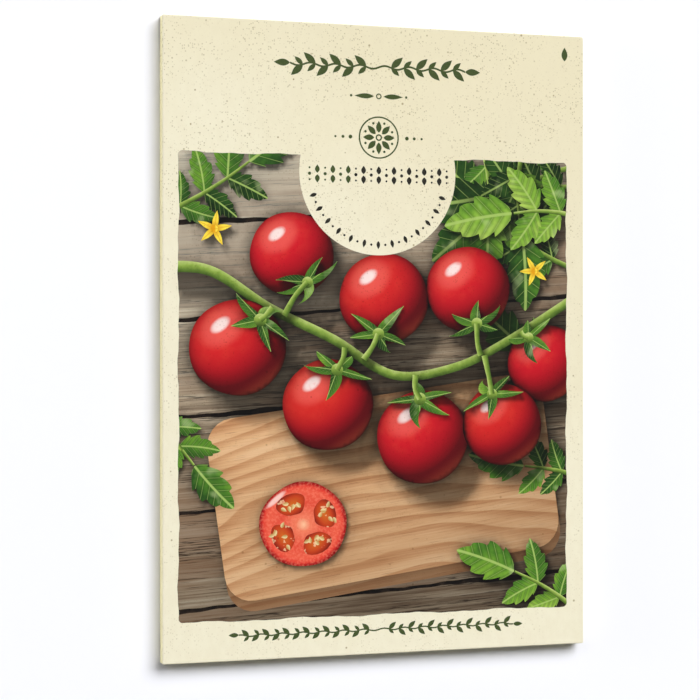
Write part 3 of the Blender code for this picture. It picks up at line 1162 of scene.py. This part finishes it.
def still_life():
    """The printed picture: ripe tomatoes on their vine, over a board on a table of planks."""
    draw = random.Random(PICTURE_DRAW)
    shapes = [window(), *table(draw), *cutting_board()]
    for leaf in BACK_LEAVES:
        shapes += compound_leaf(draw, *leaf)
    for place in BACK_FRUITS:
        shapes.append(fruit(*place[:4]))
    shapes.append(ribbon("stem", VINE, VINE_WIDTHS, *VINE_LOOK))
    for x, y, radius, _, *stalk in BACK_FRUITS:
        shapes += calyx(draw, x, y, radius, *stalk)
    for x, y, radius, tone, *stalk in FRONT_FRUITS:
        shapes.append(fruit(x, y, radius, tone, FRONT_LIFT))
        shapes += calyx(draw, x, y, radius, *stalk, FRONT_LIFT)
    shapes += halved_fruit(draw, *HALVED_FRUIT)
    for leaf in FRONT_LEAVES:
        shapes += compound_leaf(draw, *leaf)
    for place in BLOSSOMS:
        shapes += blossom(draw, *place)
    shapes.append(disc("bare", *BADGE_PLACE, BADGE_RADIUS, count=180))
    printed("printed_picture", shapes, True, PICTURE_STEP)


def blade(x, y, turn, length, width, kind="olive"):
    """A small pointed leaf, which starts at its place."""
    s = np.linspace(0, 1, 13)
    half = width / 2 * np.sin(math.pi * s**0.85)
    return Shape(kind, turned(between(length * s, half, -half, True, True), (x, y), turn))


def dot(x, y, radius, kind="olive"):
    return disc(kind, x, y, radius, count=20)


def sprig(start, end, height, pitch, leaf, width, stroke):
    """A waving stem along a line, with leaves in turn above and below it that point outwards from
    the middle."""
    middle, half = (start + end) / 2, (end - start) / 2 - leaf
    s = np.linspace(middle - half, middle + half, 80)
    wave = height + SPRIG_WAVE * leaf * np.sin((s - middle) * math.pi / pitch)
    shapes = [Shape("olive", between(s, wave + stroke / 2, wave - stroke / 2))]
    count = round(half / pitch)
    for side in (-1, 1):
        for index in range(1, count + 1):
            x = middle + side * index * half / count
            y = height + SPRIG_WAVE * leaf * math.sin((x - middle) * math.pi / pitch)
            lean = SPRIG_LEAN * (1 if index % 2 else -1)
            way = lean if side > 0 else 180 - lean
            if index < count:
                shapes.append(blade(x, y, way, leaf, width))
                shapes.append(blade(x, y, -way, leaf * 0.7, width * 0.7))
            else:
                shapes.append(blade(x, y, 90 - side * 90, leaf, width))
    return shapes


def ring(x, y, radius, stroke):
    return [dot(x, y, radius), dot(x, y, radius - stroke, "bare")]


def rosette(x, y):
    """A round flower in a ring, with dots between the tips of its petals."""
    radius = ROSETTE_RADIUS
    shapes = [disc("olive", x, y, radius, count=72), disc("bare", x, y, radius * 0.93, count=72)]
    shapes += ring(x, y, radius * 0.16, radius * 0.07)
    for index in range(ROSETTE_PETALS):
        way = 360 / ROSETTE_PETALS * index + 90
        turn = math.radians(way)
        near = polar(x, y, radius * 0.23, turn)
        shapes.append(blade(*near, way, radius * 0.56, radius * 0.27))
        far = polar(x, y, radius * 0.72, turn + math.pi / ROSETTE_PETALS)
        shapes.append(dot(*far, radius * 0.06))
    return shapes


def band(middle):
    """A row of upright leaves with dots between them, first in olive and then in black."""
    shapes = []
    for index in range(-BAND_COUNT, BAND_COUNT + 1):
        kind = "olive" if index < -BAND_COUNT / 3 else "black"
        x = middle + index * BAND_PITCH
        if index % 2:
            shapes.append(dot(x, BAND_HEIGHT, 0.42, kind))
        for side in (-1, 1):
            if index % 2:
                shapes.append(dot(x, BAND_HEIGHT + side * 1.5, 0.26, kind))
            else:
                shapes.append(blade(x, BAND_HEIGHT + side * 0.2, side * 90, 2.1, 1.25, kind))
    return shapes


def badge_arc():
    """Leaves and dots in turn along the badge's lower rim."""
    shapes = []
    for index in range(-ARC_COUNT, ARC_COUNT + 1):
        turn = -90 + index * ARC_PITCH
        way = math.radians(turn)
        if index % 2:
            shapes.append(dot(*polar(*BADGE_PLACE, ARC_RADIUS, way), 0.3, "black"))
        else:
            spot = polar(*BADGE_PLACE, ARC_RADIUS - ARC_LEAF / 2, way)
            shapes.append(blade(*spot, turn, ARC_LEAF, 0.95, "black"))
    return shapes


def ornaments():
    """Plain leaf and dot ornaments in olive and black on the bare paper."""
    middle = ORNAMENT_MIDDLE
    shapes = sprig(*TITLE_SPRIG)
    for side in (-1, 1):
        shapes.append(blade(middle + side * 1.3, MARK_HEIGHT, 90 - side * 90, 5.2, 1.3))
        shapes.append(dot(middle + side * 7.4, MARK_HEIGHT, 0.33))
    shapes += ring(middle, MARK_HEIGHT, 0.75, 0.3)
    shapes += rosette(middle, ROSETTE_HEIGHT)
    for side in (-1, 1):
        for index in range(3):
            x = middle + side * (7.6 + 2.0 * index)
            shapes.append(dot(x, ROSETTE_HEIGHT, 0.5 - 0.1 * index))
    shapes += [*band(middle), *badge_arc(), *sprig(*FOOT_SPRIG), blade(*CORNER_LEAF)]
    printed("printed_ornaments", shapes, False, ORNAMENT_STEP)


def stage():
    """A plain pale floor, a broad soft key from the upper right and a fill from the upper left."""
    mesh = bpy.data.meshes.new("floor")
    corners = ((-1, -1), (1, -1), (1, 1), (-1, 1))
    level = CAD_LOW.z - FLOOR_GAP
    spots = [(x * FLOOR_REACH, y * FLOOR_REACH, level) for x, y in corners]
    mesh.from_pydata(spots, [], [(0, 1, 2, 3)])
    floor = placed("floor", mesh)
    n = surface("pale_floor", *FLOOR_GLOSS)
    cloud = n.ramp(n.noise(0.4, 2.0), 0.3, 0.7)
    n.put(n.shader.inputs["Base Color"], n.mix(cloud, *FLOOR_COLOURS))
    mesh.materials.append(n.owner)
    scene = bpy.context.scene
    scene.world = studio_world()
    soft_box("key_light", *KEY_LIGHT)
    for name, light in (("left_light", LEFT_LIGHT), ("front_light", FRONT_LIGHT)):
        lamp = soft_box(name, *light)
        lamp.rotation_euler = (-lamp.location).to_track_quat("-Z", "Y").to_euler()
        lamp.data.color = LOW_LIGHT_COLOUR
    soft_box("fill_light", *FILL_LIGHT)
    scene.view_settings.view_transform = "Standard"
    scene.view_settings.look = "None"


def soft_box(name, place, size, power):
    light = bpy.data.lights.new(name, "AREA")
    light.shape = "ELLIPSE"
    light.size, light.size_y = size
    light.energy = power
    lamp = placed(name, light)
    lamp.location = place
    return lamp


def studio_world():
    """A white surround, bright near the horizon and dim overhead, where the lights hang."""
    n = Nodes(bpy.data.worlds.new("studio"), "Background", "Generated")
    fall = n.ramp(n.split(n.place)[2], *SURROUND_HEIGHTS, 1.0, SURROUND_TOP)
    n.put(n.shader.inputs["Color"], (1, 1, 1, 1))
    n.put(n.shader.inputs["Strength"], fall)
    return n.owner


def camera():
    data = bpy.data.cameras.new("camera")
    data.lens = CAMERA_LENS
    data.sensor_width = CAMERA_SENSOR
    data.clip_start = 0.01
    eye = placed("camera", data)
    eye.location = CAMERA_PLACE
    eye.rotation_euler = [math.radians(turn) for turn in CAMERA_TURN]
    bpy.context.scene.camera = eye


packet_sheet()
dress_seeds()
still_life()
ornaments()
stage()
camera()
